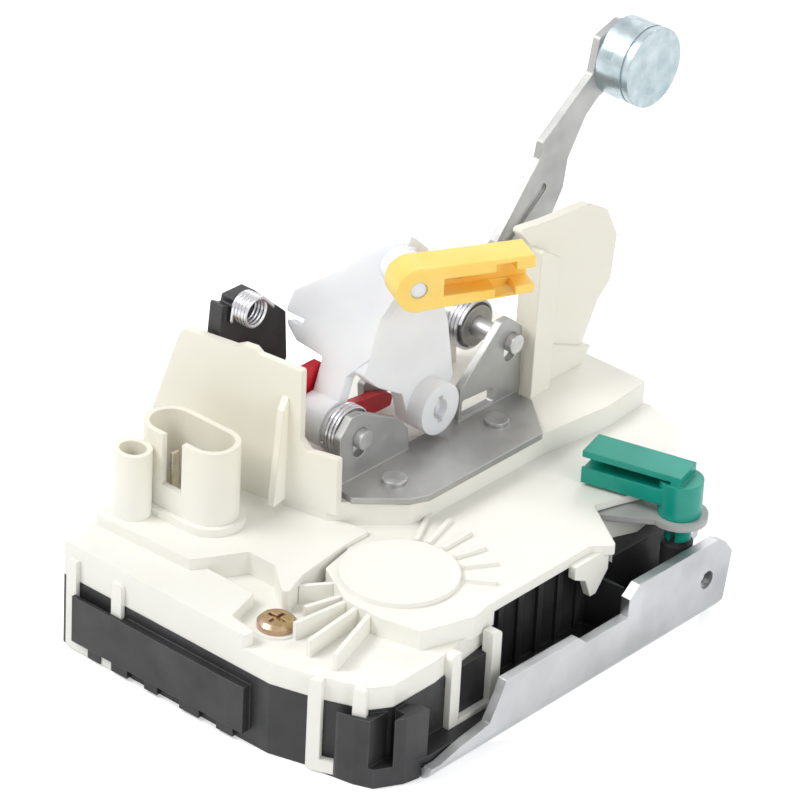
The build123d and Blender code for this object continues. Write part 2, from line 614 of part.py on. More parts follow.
def pawl():
    """Steel pawl: arm bent round the claw's rim, with a tooth for its step, held lifted."""
    knee = about_claw(pawl_path, step_closed + knee_turn)
    heel = about_claw(pawl_path, tooth_from + tooth_span / 2)
    ring = Circle(pawl_path) - Circle(claw_r - claw_step + seat_gap)
    tooth = ring & ring_sector(2 * claw_r, tooth_from, tooth_from + tooth_span)
    flat = strip(pawl_x, pawl_y, *knee, pawl_half) + strip(*knee, *heel, pawl_half)
    flat += Pos(claw_x, claw_y) * tooth
    flat += Pos(pawl_x, pawl_y) * Circle(pawl_hub_r)
    shape = slab(flat, claw_z, claw_z + claw_t)
    shape -= rod_z(pawl_x, pawl_y, pawl_pin_r + run_gap, 0, 20)
    return turned_pawl(pawl_lift) * shape


def riveted_pin(x, y, r, top):
    """Shouldered pin, riveted over on the outer face of the plate."""
    return rod_z(x, y, r, plate_t, top) + rod_z(x, y, r - 1, 0, plate_t)


# ---------------------------------------------------------------- drive
def motor_case():
    """Drawn can of the motor, round with two flats."""
    can = Pos(motor_y, wheel_z) * (Circle(motor_w / 2) & Rectangle(motor_w + 1, motor_h))
    body = side(can, motor_x - motor_len, motor_x - 2)
    body += rod_x(motor_y, wheel_z, 3.2, motor_x - motor_len - 2, motor_x - motor_len)
    return body


def motor_end_cap():
    """Plastic end cap of the motor, with two blade terminals."""
    can = Pos(motor_y, wheel_z) * (Circle(motor_w / 2 - 0.6) & Rectangle(motor_w, motor_h - 1))
    cap = side(can, motor_x - 2, motor_x) + rod_x(motor_y, wheel_z, 3, motor_x, motor_x + 2)
    cap -= rod_x(motor_y, wheel_z, shaft_r + run_gap, motor_x - 3, motor_x + 3)
    return cap


def worm():
    """Motor shaft with its worm."""
    shaft = rod_x(motor_y, wheel_z, shaft_r, motor_x - 1.5, wheel_x + worm_len / 2 + 6)
    return shaft + rod_x(motor_y, wheel_z, worm_r - 0.9, wheel_x - worm_len / 2, wheel_x + worm_len / 2)


def worm_wheel():
    """Wheel driven by the worm, with a peg for the lock lever on its upper face."""
    wheel = rod_z(wheel_x, wheel_y, wheel_r - 0.2, wheel_z - wheel_w / 2, wheel_z + wheel_w / 2)
    wheel += rod_z(wheel_x, wheel_y, 4, wheel_z, wheel_z + wheel_w / 2 + 4)
    wheel += rod_z(wheel_x, wheel_y + 8.5, 1.8, wheel_z, lock_z + lock_t)
    return wheel - rod_z(wheel_x, wheel_y, 1.5 + run_gap, 0, 40)


# ---------------------------------------------------------------- lock lever
def lock_lever():
    """Grey flat lever: inner fork over the wheel's peg, outer disc for the rod clip."""
    arm = strip(lock_x, lock_y, disc_x, disc_y, 4.2) + Pos(disc_x, disc_y) * Circle(disc_r)
    inner = poly([(lock_x - 4, lock_y), (wheel_x - 5.5, wheel_y + 18), (wheel_x - 5.5, wheel_y + 4.5),
                  (wheel_x + 5.5, wheel_y + 4.5), (wheel_x + 5.5, wheel_y + 16), (lock_x + 3, lock_y)])
    fork = Pos(wheel_x, wheel_y + 8) * SlotOverall(16, 5.4, rotation=90)
    flat = arm + inner + Pos(lock_x, lock_y) * Circle(5.5) - fork
    lever = slab(flat, lock_z, lock_z + lock_t)
    lever -= rod_z(lock_x, lock_y, 2.0 + run_gap, 20, 30)
    return lever - rod_z(disc_x, disc_y, foot_r + run_gap, 20, 30)


def lock_rod_clip():
    """Green rod clip: foot snapped through the lever's disc, body and channel above it."""
    turn = math.degrees(math.atan2(29 - disc_y, 18 - disc_x))
    body = Pos(11, 0, clip_z + 4.2) * Box(25, 9, 8.4)
    body -= Pos(13, 1.5, clip_z + 5.4) * Box(24, 4.6, 4.0)
    body -= Pos(13, 3.5, clip_z + 5.4) * Box(24, 4.6, 2.8)
    body += rod_z(0, 0, 5.2, lock_z + lock_t + 0.05, clip_z + 6)
    body += rod_z(0, 0, foot_r, lock_z - 5, clip_z + 1)
    body += Pos(0, 0, lock_z - 3) * Cone(2.4, foot_r + 0.8, 3.6)
    body -= box(-0.7, 0.7, -6, 6, 15, lock_z - 0.6)
    return Pos(disc_x, disc_y, 0) * Rot(0, 0, turn) * body


# ---------------------------------------------------------------- small pieces
def cover_screw(x, y, top, head_r, head_h, depth):
    """Pan-head screw with a cross recess."""
    screw = rod_z(x, y, head_r, top, top + head_h) + rod_z(x, y, 1.7, top - depth, top + 0.5)
    screw = chamfer(screw.edges().filter_by(GeomType.CIRCLE).sort_by(Axis.Z)[-1], head_h * 0.4)
    for turn in (0, 90):
        screw -= Pos(x, y, top + head_h) * Rot(0, 0, turn) * Box(5, 1, 1.8)
    return screw


def connector_terminals():
    """Row of blade terminals standing in the oval connector."""
    blades = [box(x - 0.4, x + 0.4, -53, -50.8, plinth_z + 1.5, 45) for x in (-45, -39, -33, -27)]
    return blades


def circuit_carrier():
    """Plastic carrier below the connector with its conductors."""
    return box(-40, -19.5, -55.5, -40, plinth_z - wall - 2, plinth_z - wall)


def latch_switch():
    """Microswitch that reads the claw's position."""
    return box(-44, -30, 16, 26, pocket_z + floor_t, pocket_z + floor_t + 6)


def bump_stop():
    """Rubber stop for the lock lever's disc."""
    return rod_z(disc_x, disc_y, 3.8, ledge_z, lock_z - 6)


parts = {
    "latch_plate": latch_plate(),
    "base_housing": base_housing(),
    "cover_housing": cover_housing(),
    "pivot_bracket": pivot_bracket(),
    "lever_pin": lever_pin(pin_a_y, pin_a_z, left_x),
    "counterweight_pin": lever_pin(pin_b_y, pin_b_z, arm_x - arm_t - seat_gap - 4),
    "lever_return_spring": coil_x(pin_a_y, pin_a_z, coil_a_x - wire_r, 3, -1),
    "counterweight_spring": coil_x(pin_b_y, pin_b_z, coil_b_x - wire_r, 4, -1),
    "outside_lever": outside_lever(),
    "rod_clip": swivel_frame * Rot(0, 0, 90) * yellow_clip(),
    "inside_lever": inside_lever(),
    "link_spring": coil_x(-26.9, 72.1, inside_x + wire_r + seat_gap, 4, 1, 3.6),
    "lock_link": lock_link(),
    "counterweight_arm": counterweight_lever(),
    "counterweight_mass": counterweight_mass(),
    "claw": claw(),
    "pawl": pawl(),
    "claw_pin": riveted_pin(claw_x, claw_y, claw_pin_r, pocket_z),
    "pawl_pin": riveted_pin(pawl_x, pawl_y, pawl_pin_r, pocket_z),
    "motor_case": motor_case(),
    "motor_end_cap": motor_end_cap(),
    "worm": worm(),
    "worm_wheel": worm_wheel(),
    "wheel_axle": rod_z(wheel_x, wheel_y, 1.5, plate_t + 1.5, deck_z - wall + 1),
    "lock_lever": lock_lever(),
    "lock_lever_pin": rod_z(lock_x, lock_y, 2.0, pocket_z + floor_t, deck_z - wall),
    "lock_rod_clip": lock_rod_clip(),
    "circuit_carrier": circuit_carrier(),
    "latch_switch": latch_switch(),
    "bump_stop": bump_stop(),
    "cover_screw": cover_screw(screw_x, screw_y, screw_seat, 4.5, 2.2, 14),
}
for number, rivet in enumerate(bracket_rivets(), 1):
    parts[f"bracket_rivet_{number}"] = rivet
for number, blade in enumerate(connector_terminals(), 1):
    parts[f"connector_terminal_{number}"] = blade

for node, shape in parts.items():
    save(shape, node)
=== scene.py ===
# %% [markdown]
# # A car door latch actuator
# The solids of the latch come in as a fixed frame: casings, levers, pins, springs and the steel
# plate are already at their real size. This lesson gives them their finishes, replaces the coil
# springs with finely made ones, and sets up a plain studio.
# Every length below is in metres.

# %% Load the frame
import json
import math

import bmesh
import bpy
import numpy as np
from mathutils import Matrix, Vector


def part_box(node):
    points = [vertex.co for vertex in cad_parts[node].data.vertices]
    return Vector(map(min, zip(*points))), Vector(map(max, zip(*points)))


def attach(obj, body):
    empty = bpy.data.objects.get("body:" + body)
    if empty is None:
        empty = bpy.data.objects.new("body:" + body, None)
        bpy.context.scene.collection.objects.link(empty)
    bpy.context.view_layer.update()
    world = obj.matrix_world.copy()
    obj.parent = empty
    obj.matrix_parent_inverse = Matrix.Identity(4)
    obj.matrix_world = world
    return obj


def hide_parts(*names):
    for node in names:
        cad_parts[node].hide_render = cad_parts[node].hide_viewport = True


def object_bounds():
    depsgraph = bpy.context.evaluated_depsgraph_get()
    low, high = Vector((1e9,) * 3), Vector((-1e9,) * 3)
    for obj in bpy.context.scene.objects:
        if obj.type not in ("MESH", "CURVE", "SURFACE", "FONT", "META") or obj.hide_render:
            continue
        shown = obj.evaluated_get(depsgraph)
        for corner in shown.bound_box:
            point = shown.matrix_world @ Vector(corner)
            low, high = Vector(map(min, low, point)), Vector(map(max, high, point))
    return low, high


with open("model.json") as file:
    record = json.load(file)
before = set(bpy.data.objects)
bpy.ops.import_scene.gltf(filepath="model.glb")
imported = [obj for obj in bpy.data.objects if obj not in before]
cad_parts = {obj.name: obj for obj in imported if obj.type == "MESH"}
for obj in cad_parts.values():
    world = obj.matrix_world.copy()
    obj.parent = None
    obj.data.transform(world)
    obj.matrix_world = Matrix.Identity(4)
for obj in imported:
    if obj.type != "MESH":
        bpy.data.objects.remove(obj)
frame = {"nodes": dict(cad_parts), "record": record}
cad_low, cad_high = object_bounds()
nodes = frame["nodes"]
slot_of = {part["node"]: part["material_slot"] for part in frame["record"]["subparts"]}
print(len(nodes), "solids, box", [round(v, 4) for v in cad_low], [round(v, 4) for v in cad_high])

# %% [markdown]
# ## Camera
# The latch is seen from its front right corner and from above, through a long lens, so parallel
# edges stay almost parallel. A camera is easiest to repeat from four plain numbers: the direction
# round the object, the height angle, a small roll, and the place it stands. The rotation matrix is
# built from the viewing direction, which keeps it free of Euler angle order.

# %% Place the camera
VIEW_AZIMUTH = math.radians(40.2)
VIEW_ELEVATION = math.radians(30.0)
VIEW_ROLL = math.radians(2.94)
CAMERA_PLACE = Vector((0.63226, -0.76777, 0.62743))
LENS_MM = 225.0


def looking(azimuth, elevation, roll):
    """Rotation whose -Z axis looks down at the object from that direction, turned by roll."""
    ahead = Vector((-math.sin(azimuth) * math.cos(elevation),
                    math.cos(azimuth) * math.cos(elevation), -math.sin(elevation)))
    right = ahead.cross(Vector((0, 0, 1))).normalized()
    up = right.cross(ahead)
    turned_right = right * math.cos(roll) + up * math.sin(roll)
    turned_up = up * math.cos(roll) - right * math.sin(roll)
    return Matrix((turned_right, turned_up, -ahead)).transposed()


camera = bpy.data.objects.new("camera", bpy.data.cameras.new("camera"))
camera.data.lens = LENS_MM
camera.data.sensor_width = 36.0
camera.data.clip_end = 20.0
camera.matrix_world = Matrix.Translation(CAMERA_PLACE) @ looking(
    VIEW_AZIMUTH, VIEW_ELEVATION, VIEW_ROLL).to_4x4()
bpy.context.scene.collection.objects.link(camera)
bpy.context.scene.camera = camera
bpy.context.scene.view_settings.view_transform = "Standard"
print("camera", tuple(round(v, 3) for v in CAMERA_PLACE), "lens", LENS_MM)

# %% [markdown]
# ## Studio
# Product pictures of small parts use a white sweep and large soft lamps. A big floor disc catches
# the shadow. To the camera the floor and the world are plain white; the light that reaches the
# object comes from the lamps and from a dimmer world, so pale plastics keep their shading.

# %% Floor and world
WORLD_LIGHT = 0.50
FLOOR_RADIUS = 3.0
FLOOR_GLOW = 0.42
FLOOR_DROP = 0.0002  # keeps the floor just clear of the lowest solid


def ray_is_seen(tree):
    """Node output that is 1 for camera, glossy and transmission rays, added and clamped."""
    path = tree.nodes.new("ShaderNodeLightPath")
    total = path.outputs["Is Camera Ray"]
    for kind in ("Is Glossy Ray", "Is Transmission Ray"):
        add = tree.nodes.new("ShaderNodeMath")
        add.operation = "ADD"
        add.use_clamp = True
        tree.links.new(total, add.inputs[0])
        tree.links.new(path.outputs[kind], add.inputs[1])
        total = add.outputs[0]
    return total


def white_world():
    """World that looks white and lights the object with a dimmer, even grey."""
    world = bpy.data.worlds.new("studio")
    world.use_nodes = True
    tree = world.node_tree
    tree.nodes.clear()
    seen = tree.nodes.new("ShaderNodeBackground")
    seen.inputs["Strength"].default_value = 1.0
    seen.inputs["Color"].default_value = (1, 1, 1, 1)
    light = tree.nodes.new("ShaderNodeBackground")
    light.inputs["Color"].default_value = (0.97, 0.985, 1.0, 1)
    light.inputs["Strength"].default_value = WORLD_LIGHT
    mix = tree.nodes.new("ShaderNodeMixShader")
    out = tree.nodes.new("ShaderNodeOutputWorld")
    tree.links.new(ray_is_seen(tree), mix.inputs["Fac"])
    tree.links.new(light.outputs[0], mix.inputs[1])
    tree.links.new(seen.outputs[0], mix.inputs[2])
    tree.links.new(mix.outputs[0], out.inputs["Surface"])
    bpy.context.scene.world = world


def grid_mesh(name, points):
    """Mesh from a (rows, columns, 3) array of points whose columns close into a ring."""
    rows, columns = points.shape[:2]
    index = np.arange(rows * columns).reshape(rows, columns)
    a, b = np.meshgrid(np.arange(rows - 1), np.arange(columns), indexing="ij")
    a2, b2 = a + 1, (b + 1) % columns
    quads = np.stack([index[a, b], index[a2, b], index[a2, b2], index[a, b2]], axis=-1)
    quads = quads.reshape(-1, 4)
    mesh = bpy.data.meshes.new(name)
    mesh.from_pydata(points.reshape(-1, 3).tolist(), [], quads.tolist())
    mesh.polygons.foreach_set("use_smooth", np.ones(len(quads), dtype=bool))
    mesh.update()
    return mesh


def place(name, mesh):
    """Object at the origin that carries a mesh whose place is already in its points."""
    piece = bpy.data.objects.new(name, mesh)
    bpy.context.scene.collection.objects.link(piece)
    return piece


def floor_points(radius, rings=3, spokes=48):
    """Disc: point(u, v) = radius u (cos v, sin v), at the height of the lowest solid."""
    u = np.linspace(0.02, 1, rings)[:, None]
    v = np.linspace(0, 2 * np.pi, spokes, endpoint=False)[None, :]
    height = np.full((rings, spokes), cad_low[2] - FLOOR_DROP)
    return np.stack([radius * u * np.cos(v), radius * u * np.sin(v), height], axis=-1)


def floor_material():
    """White to the camera where lit; a diffuse surface carries the soft shadow."""
    material = bpy.data.materials.new("floor")
    material.use_nodes = True
    tree = material.node_tree
    tree.nodes.clear()
    diffuse = tree.nodes.new("ShaderNodeBsdfDiffuse")
    diffuse.inputs["Color"].default_value = (0.85, 0.85, 0.85, 1)
    glow = tree.nodes.new("ShaderNodeEmission")
    glow.inputs["Color"].default_value = (1, 1, 1, 1)
    strength = tree.nodes.new("ShaderNodeMath")
    strength.operation = "MULTIPLY"
    strength.inputs[1].default_value = FLOOR_GLOW
    add = tree.nodes.new("ShaderNodeAddShader")
    out = tree.nodes.new("ShaderNodeOutputMaterial")
    tree.links.new(ray_is_seen(tree), strength.inputs[0])
    tree.links.new(strength.outputs[0], glow.inputs["Strength"])
    tree.links.new(diffuse.outputs[0], add.inputs[0])
    tree.links.new(glow.outputs[0], add.inputs[1])
    tree.links.new(add.outputs[0], out.inputs["Surface"])
    return material


white_world()
floor = place("floor", grid_mesh("floor", floor_points(FLOOR_RADIUS)))
floor.data.materials.append(floor_material())
print("floor at", round(cad_low[2], 4))

# %% [markdown]
# Three soft lamps: a wide one overhead and to the left as key, a tall one on the right to lift the
# dark base, and a weak one behind that draws the edges of the white walls. Area lamps are square
# emitters, so their reflections in the steel are broad and soft.

# %% Lamps
LAMPS = [
    ("key", (-0.55, -0.75, 1.15), 0.7, 13.5),
    ("right", (1.25, -0.10, 0.65), 0.8, 6.5),
    ("back", (-0.30, 1.10, 0.90), 0.6, 5.0),
]
middle = Vector([(low + high) / 2 for low, high in zip(cad_low, cad_high)])
for name, spot, size, power in LAMPS:
    lamp = bpy.data.objects.new(name, bpy.data.lights.new(name, "AREA"))
    lamp.data.size = size
    lamp.data.energy = power
    lamp.location = spot
    lamp.rotation_euler = (middle - Vector(spot)).to_track_quat("-Z", "Y").to_euler()
    bpy.context.scene.collection.objects.link(lamp)
    print(name, "lamp", power, "W")

# %% [markdown]
# ## How a finish is put together
# Every finish starts from one Principled shader. What makes a surface believable is that nothing on
# it is perfectly even: colour drifts a little, the polish varies, and a fine grain catches light.
# All three come from noise that is read in object coordinates, in metres, so the size of a pattern
# is the same on a tiny rivet and on the big cover, and it stays put when a lever turns.

# %% Shader helpers


def new_finish(name, colour, roughness, metallic=0.0):
    """Material with one Principled shader; returns it with its tree and shader."""
    material = bpy.data.materials.new(name)
    material.use_nodes = True
    tree = material.node_tree
    shader = tree.nodes["Principled BSDF"]
    shader.inputs["Base Color"].default_value = (*colour, 1)
    shader.inputs["Roughness"].default_value = roughness
    shader.inputs["Metallic"].default_value = metallic
    return material, tree, shader


def spread(tree, stretch=(1, 1, 1)):
    """Object coordinates, in metres, stretched along the row's axes."""
    place_in = tree.nodes.new("ShaderNodeTexCoord")
    mapping = tree.nodes.new("ShaderNodeMapping")
    mapping.inputs["Scale"].default_value = stretch
    tree.links.new(place_in.outputs["Object"], mapping.inputs["Vector"])
    return mapping.outputs["Vector"]


def noise(tree, vector, size, detail=3.0):
    """Noise value whose blobs are about size metres across."""
    node = tree.nodes.new("ShaderNodeTexNoise")
    node.inputs["Scale"].default_value = 0.5 / size
    node.inputs["Detail"].default_value = detail
    tree.links.new(vector, node.inputs["Vector"])
    return node.outputs["Fac"]


def between(tree, value, low, high, start=0.35, stop=0.65):
    """Maps value from start..stop to low..high, clamped."""
    node = tree.nodes.new("ShaderNodeMapRange")
    node.inputs["From Min"].default_value = start
    node.inputs["From Max"].default_value = stop
    node.inputs["To Min"].default_value = low
    node.inputs["To Max"].default_value = high
    tree.links.new(value, node.inputs["Value"])
    return node.outputs["Result"]


def blend_colour(tree, value, first, second, start=0.35, stop=0.65):
    """Colour that runs from first to second as value goes from start to stop."""
    ramp = tree.nodes.new("ShaderNodeValToRGB")
    ramp.color_ramp.elements[0].position = start
    ramp.color_ramp.elements[0].color = (*first, 1)
    ramp.color_ramp.elements[1].position = stop
    ramp.color_ramp.elements[1].color = (*second, 1)
    tree.links.new(value, ramp.inputs["Fac"])
    return ramp.outputs["Color"]


def mixed(tree, value, first, second):
    """Mix of two colour outputs by a value output."""
    node = tree.nodes.new("ShaderNodeMix")
    node.data_type = "RGBA"
    tree.links.new(value, node.inputs["Factor"])
    tree.links.new(first, node.inputs["A"])
    tree.links.new(second, node.inputs["B"])
    return node.outputs["Result"]


def bumped(tree, shader, *layers, edge=0.0004):
    """Stacks bump layers, each (height output, depth in metres), on edges rounded by edge metres."""
    rounded = tree.nodes.new("ShaderNodeBevel")
    rounded.samples = 4
    rounded.inputs["Radius"].default_value = edge
    last = rounded.outputs["Normal"]
    for height, depth in layers:
        bump = tree.nodes.new("ShaderNodeBump")
        bump.inputs["Distance"].default_value = depth
        bump.inputs["Strength"].default_value = 1.0
        tree.links.new(height, bump.inputs["Height"])
        tree.links.new(last, bump.inputs["Normal"])
        last = bump.outputs["Normal"]
    tree.links.new(last, shader.inputs["Normal"])


# mask for the painted highlight along sharp edges, on the black plastic and the plated steel
def edge_highlight_mask(tree, radius):
    """1 on sharp outer edges, 0 elsewhere: how far the bevelled normal leaves the true one."""
    bevel = tree.nodes.new("ShaderNodeBevel")
    bevel.samples = 4
    bevel.inputs["Radius"].default_value = radius
    geometry = tree.nodes.new("ShaderNodeNewGeometry")
    dot = tree.nodes.new("ShaderNodeVectorMath")
    dot.operation = "DOT_PRODUCT"
    tree.links.new(bevel.outputs["Normal"], dot.inputs[0])
    tree.links.new(geometry.outputs["Normal"], dot.inputs[1])
    return between(tree, dot.outputs["Value"], 1.0, 0.0, 0.90, 0.998)


finishes = {}
print("shader helpers ready")

# %% [markdown]
# ## White cover
# The cover is a moulding in an undyed engineering plastic: cream rather than white, a little yellower
# and a touch darker higher up, from 30 to 50 mm. A drift of tone a few centimetres wide, a faint
# satin grain and a little light under the skin give it that look. It could be a flat off-white, but
# then large decks look cut from paper.

# %% Cover finish


def cover_finish():
    """Cream moulding: slow drift of tone, yellower and a touch darker higher up, satin grain."""
    material, tree, shader = new_finish("cover_cream", (0.84, 0.83, 0.77), 0.42)
    here = spread(tree)
    drift = noise(tree, here, 0.030)
    tone = blend_colour(tree, drift, (0.82, 0.81, 0.75), (0.86, 0.85, 0.79))
    split = tree.nodes.new("ShaderNodeSeparateXYZ")
    tree.links.new(here, split.inputs["Vector"])
    # upper parts, 30 to 50 mm up, blend to a yellower, slightly darker tone
    height = between(tree, split.outputs["Z"], 0.0, 1.0, 0.030, 0.050)
    warm = blend_colour(tree, drift, (0.82, 0.79, 0.68), (0.85, 0.82, 0.71))
    tree.links.new(mixed(tree, height, tone, warm), shader.inputs["Base Color"])
    tree.links.new(between(tree, noise(tree, here, 0.006), 0.36, 0.50), shader.inputs["Roughness"])
    shader.inputs["Subsurface Weight"].default_value = 0.12
    shader.inputs["Subsurface Radius"].default_value = (1.0, 0.85, 0.6)
    shader.inputs["Subsurface Scale"].default_value = 0.0015
    bumped(tree, shader, (noise(tree, here, 0.012), 0.00010),
           (noise(tree, here, 0.0005), 0.000008))
    return material


finishes["white_plastic"] = cover_finish()
print("cover finish", finishes["white_plastic"].name)

# %% [markdown]
# ## Black base and black lever
# Glass-filled plastic comes out of the mould with a faint speckle, and handling leaves paler dust on
# it. The speckle is a bump a few tenths of a millimetre wide; the dust is a slightly lighter colour
# that follows a coarser noise. Corners and edges get a paler grey, a painted highlight.

# %% Black finish


def black_finish():
    """Dark glass-filled moulding with a speckle, pale dust and a painted highlight on the edges."""
    material, tree, shader = new_finish("base_black", (0.012, 0.012, 0.013), 0.45)
    here = spread(tree)
    dust = blend_colour(tree, noise(tree, here, 0.009),
                        (0.011, 0.011, 0.012), (0.026, 0.026, 0.028))
    painted_edge_grey = blend_colour(tree, noise(tree, here, 0.002),
                        (0.05, 0.05, 0.052), (0.09, 0.09, 0.09))
    # painted highlight: a paler grey on sharp edges and corners
    tree.links.new(mixed(tree, edge_highlight_mask(tree, 0.00035), dust, painted_edge_grey), shader.inputs["Base Color"])
    tree.links.new(between(tree, noise(tree, here, 0.004), 0.34, 0.55), shader.inputs["Roughness"])
    bumped(tree, shader, (noise(tree, here, 0.00045), 0.00003),
           (noise(tree, here, 0.008), 0.00008))
    return material


finishes["black_plastic"] = black_finish()
print("black finish", finishes["black_plastic"].name)

# %% [markdown]
# ## Steel of the latch plate and the bracket
# Both are pressed from sheet and zinc plated. Rolled sheet carries faint lines along its length, so
# one noise is stretched fiftyfold along Y. Plating adds soft clouds of brighter and duller metal.
# The bracket is duller than the plate, so it gets the same recipe with other numbers.

# %% Plated steel finishes


def plated_finish(name, dull, bright, rough_low, rough_high, line_axis):
    """Zinc-plated sheet: clouds of tone, fine lines along one axis, edges brightened as a painted
    highlight.
    """
    material, tree, shader = new_finish(name, dull, rough_high, metallic=1.0)
    here = spread(tree)
    stretch = [1.0, 1.0, 1.0]
    stretch[line_axis] = 0.02
    lines = noise(tree, spread(tree, stretch), 0.0004, 2.0)
    clouds = blend_colour(tree, noise(tree, here, 0.010), dull, bright)
    # painted highlight: a brighter metal colour on sharp edges
    edge = blend_colour(tree, lines, bright, [min(1.0, 1.15 * c) for c in bright])
    tree.links.new(mixed(tree, edge_highlight_mask(tree, 0.0004), clouds, edge), shader.inputs["Base Color"])
    tree.links.new(between(tree, noise(tree, here, 0.003), rough_low, rough_high),
                   shader.inputs["Roughness"])
    bumped(tree, shader, (lines, 0.000006), (noise(tree, here, 0.005), 0.00004))
    return material


ALONG_Y = 1
finishes["zinc_steel"] = plated_finish(
    "plate_zinc", (0.42, 0.43, 0.44), (0.54, 0.55, 0.56), 0.36, 0.5, ALONG_Y)
finishes["bracket_steel"] = plated_finish(
    "bracket_zinc", (0.36, 0.36, 0.355), (0.46, 0.46, 0.45), 0.42, 0.56, ALONG_Y)
print("plate and bracket finishes ready")

# %% [markdown]
# ## Counterweight
# The weight is turned from bar and zinc plated with a clear blue finish. Such plating shows cells of
# slightly different sheen, as frost does. Voronoi cells about two millimetres wide drive both the
# colour and the roughness.

# %% Counterweight finish
CELLS_PER_METRE = 420.0
SOFT_SHARE = 0.6


def weight_finish():
    """Blue-passivated zinc with a mottled sheen in cells."""
    material, tree, shader = new_finish("weight_zinc", (0.52, 0.58, 0.60), 0.35, metallic=1.0)
    here = spread(tree)
    cells = tree.nodes.new("ShaderNodeTexVoronoi")
    cells.inputs["Scale"].default_value = CELLS_PER_METRE
    tree.links.new(here, cells.inputs["Vector"])
    split = tree.nodes.new("ShaderNodeSeparateColor")
    tree.links.new(cells.outputs["Color"], split.inputs["Color"])
    cloud = noise(tree, here, 0.003)
    tone = blend_colour(tree, split.outputs["Red"],
                        (0.36, 0.44, 0.47), (0.50, 0.57, 0.60), 0.0, 1.0)
    soft = blend_colour(tree, cloud, (0.33, 0.42, 0.45), (0.56, 0.63, 0.65))
    both = tree.nodes.new("ShaderNodeMix")
    both.data_type = "RGBA"
    both.inputs["Factor"].default_value = SOFT_SHARE
    tree.links.new(tone, both.inputs["A"])
    tree.links.new(soft, both.inputs["B"])
    tree.links.new(both.outputs["Result"], shader.inputs["Base Color"])
    tree.links.new(between(tree, split.outputs["Green"], 0.26, 0.46, 0.0, 1.0),
                   shader.inputs["Roughness"])
    bumped(tree, shader, (cloud, 0.00003))
    return material


finishes["zinc_weight"] = weight_finish()
print("weight finish", finishes["zinc_weight"].name)

# %% [markdown]
# ## Natural, yellow, green, red and grey plastics
# The outside lever is moulded in natural acetal, which lets light in: its thin webs glow and what
# lies behind them tints them. The rod clips and the red link are the same plastic with dye. One
# recipe serves all of them; how deep light goes in is what tells them apart. With no depth and a
# rougher skin it also serves the rubber stop.

# %% Dyed plastic finishes


def dyed_finish(name, first, second, depth, weight, rough_low=0.28, rough_high=0.42):
    """Acetal moulding: two near tones, light scattered below the skin, faint flow lines."""
    material, tree, shader = new_finish(name, first, rough_low)
    here = spread(tree)
    tree.links.new(blend_colour(tree, noise(tree, here, 0.008), first, second),
                   shader.inputs["Base Color"])
    tree.links.new(between(tree, noise(tree, here, 0.004), rough_low, rough_high),
                   shader.inputs["Roughness"])
    shader.inputs["Subsurface Weight"].default_value = weight
    shader.inputs["Subsurface Radius"].default_value = (1.0, 0.8, 0.7)
    shader.inputs["Subsurface Scale"].default_value = depth
    bumped(tree, shader, (noise(tree, spread(tree, (1, 0.3, 1)), 0.006), 0.00008),
           (noise(tree, here, 0.0004), 0.000006))
    return material


DYES = [
    ("natural_plastic", "natural_acetal", (0.78, 0.79, 0.81), (0.83, 0.84, 0.85), 0.003, 0.45),
    ("yellow_plastic", "yellow_acetal", (0.98, 0.60, 0.10), (0.99, 0.68, 0.18), 0.003, 0.45),
    ("green_plastic", "green_acetal", (0.0, 0.27, 0.20), (0.004, 0.33, 0.26), 0.0012, 0.15),
    ("red_plastic", "red_acetal", (0.46, 0.004, 0.012), (0.58, 0.010, 0.022), 0.0015, 0.2),
    ("grey_plastic", "grey_nylon", (0.36, 0.36, 0.35), (0.44, 0.44, 0.43), 0.001, 0.1),
    ("stop_rubber", "stop_rubber", (0.02, 0.02, 0.022), (0.035, 0.035, 0.037), 0.001, 0.0,
     0.55, 0.75),
]
for slot_name, *recipe in DYES:
    finishes[slot_name] = dyed_finish(*recipe)
print(len(DYES), "dyed finishes ready")

# %% [markdown]
# ## Small metal parts
# Springs are bright drawn wire; pins and rivets are plated steel; the screw is yellow passivated,
# which shows as a shift between brass and rose across its head.

# %% Small metal finishes


def turned_finish(name, dull, bright, roughness, cloud_size=0.002):
    """Bright small metal part whose tone wanders between two colours."""
    material, tree, shader = new_finish(name, dull, roughness, metallic=1.0)
    here = spread(tree)
    tree.links.new(blend_colour(tree, noise(tree, here, cloud_size), dull, bright),
                   shader.inputs["Base Color"])
    tree.links.new(between(tree, noise(tree, here, 0.0015), 0.8 * roughness, 1.3 * roughness),
                   shader.inputs["Roughness"])
    bumped(tree, shader, (noise(tree, here, 0.0006), 0.000006))
    return material


METALS = [
    ("spring_steel", "spring_wire", (0.55, 0.55, 0.57), (0.72, 0.72, 0.74), 0.22),
    ("pin_steel", "pin_plated", (0.46, 0.46, 0.46), (0.58, 0.58, 0.57), 0.36),
    ("motor_steel", "motor_can", (0.5, 0.5, 0.5), (0.6, 0.6, 0.6), 0.3, 0.006),
    ("yellow_zinc", "screw_passivated", (0.42, 0.30, 0.15), (0.55, 0.38, 0.30), 0.3, 0.003),
    ("brass_worm", "worm_brass", (0.60, 0.44, 0.18), (0.70, 0.52, 0.24), 0.28),
    ("terminal_brass", "terminal_tin", (0.62, 0.58, 0.46), (0.74, 0.70, 0.58), 0.3),
]
for slot_name, *recipe in METALS:
    finishes[slot_name] = turned_finish(*recipe)
print(len(METALS), "small metal finishes ready")

# %% [markdown]
# ## Finishes on the solids
# The record names a material slot for every solid, so one dictionary from slot to finish is enough:
# no piece is picked by hand, and two pieces of one plastic always look alike.

# %% Give every solid its finish
for name, solid in nodes.items():
    for slot in solid.material_slots:
        slot.material = finishes[slot_of[name]]
print(len(finishes), "finishes on", len(nodes), "solids")

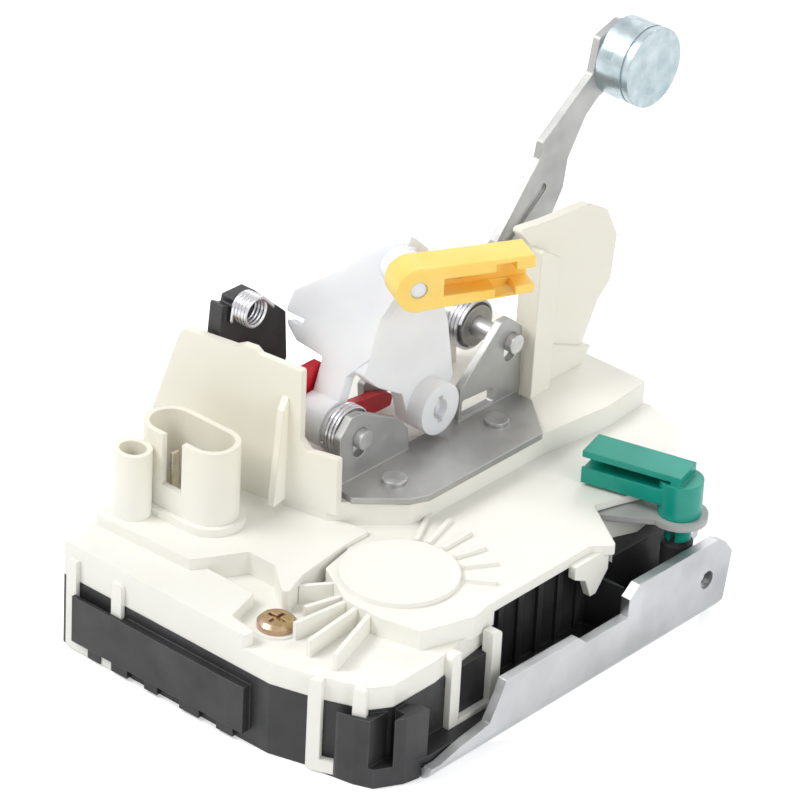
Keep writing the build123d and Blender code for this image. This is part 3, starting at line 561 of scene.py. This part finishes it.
# %% [markdown]
# ## Coil springs
# A torsion spring is one wire: a straight leg, some close turns and a second leg. With t the turned
# angle, the coil is point(t) = (x0 + pitch t / 2 pi, radius cos t, radius sin t) about its axis, and
# each leg leaves along the coil's tangent. Negative turns wind the other way. The wire's skin is a
# circle carried along that line in a frame that never twists, so it stays round in the bends.

# %% Springs
WIRE = 0.00048  # radius of the wire
LEG_POINTS = 5


def spring_line(low_x, high_x, turns, radius, start, legs, per_turn=40):
    """Centre line of a coil about X, with a straight leg of the given length at each end."""
    t = np.linspace(0, 2 * np.pi * turns, int(per_turn * abs(turns)) + 1)
    coil = np.stack([low_x + (high_x - low_x) * t / t[-1], radius * np.cos(start + t),
                     radius * np.sin(start + t)], axis=-1)
    first, last = coil[0] - coil[1], coil[-1] - coil[-2]
    steps = np.linspace(0, 1, LEG_POINTS + 1)[1:, None]
    before = coil[0] + legs[0] * steps[::-1] * first / np.linalg.norm(first)
    after = coil[-1] + legs[1] * steps * last / np.linalg.norm(last)
    return np.concatenate([before, coil, after])


def wire_mesh(name, line, radius, sides=12):
    """Closed tube along a line, its section carried without twist."""
    ahead = np.gradient(line, axis=0)
    ahead /= np.linalg.norm(ahead, axis=1)[:, None]
    side = np.cross(ahead[0], (0.0, 0.3, 1.0))
    rings = []
    for centre, forward in zip(line, ahead):
        side = side - forward * np.dot(side, forward)
        side = side / np.linalg.norm(side)
        other = np.cross(forward, side)
        turn = np.linspace(0, 2 * np.pi, sides, endpoint=False)[:, None]
        rings.append(centre + radius * (np.cos(turn) * side + np.sin(turn) * other))
    mesh = grid_mesh(name, np.array(rings))
    shell = bmesh.new()
    shell.from_mesh(mesh)
    bmesh.ops.holes_fill(shell, edges=[edge for edge in shell.edges if edge.is_boundary])
    bmesh.ops.recalc_face_normals(shell, faces=shell.faces)
    shell.to_mesh(mesh)
    shell.free()
    return mesh


def add_spring(node, body, turns, start, legs):
    """Detailed coil in the place of a solid one, read from that solid's box."""
    low, high = (np.array(corner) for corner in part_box(node))
    centre = (low + high) / 2
    radius = (high[2] - low[2]) / 2 - WIRE
    line = spring_line(low[0] + WIRE, high[0] - WIRE, turns, radius, start, legs)
    line[:, 1:] += centre[1:]
    piece = place(node + "_wire", wire_mesh(node, line, WIRE))
    piece.data.materials.append(finishes[slot_of[node]])
    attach(piece, body)
    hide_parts(node)
    return piece


body_of = {}
for body, group in frame["record"]["behaviour"]["bodies"].items():
    for node in group:
        body_of[node] = body
# node, turns, angle at which the wire starts, lengths of the two legs
SPRINGS = [
    ("lever_return_spring", 3.0, math.radians(200), (0.001, 0.001)),
    ("counterweight_spring", 4.0, math.radians(150), (0.001, 0.001)),
    ("link_spring", -4.39, math.radians(180), (0.003, 0.0035)),
]
for node, turns, start, legs in SPRINGS:
    spring = add_spring(node, body_of[node], turns, start, legs)
    print(spring.name, len(spring.data.polygons), "faces, rides on", body_of[node])
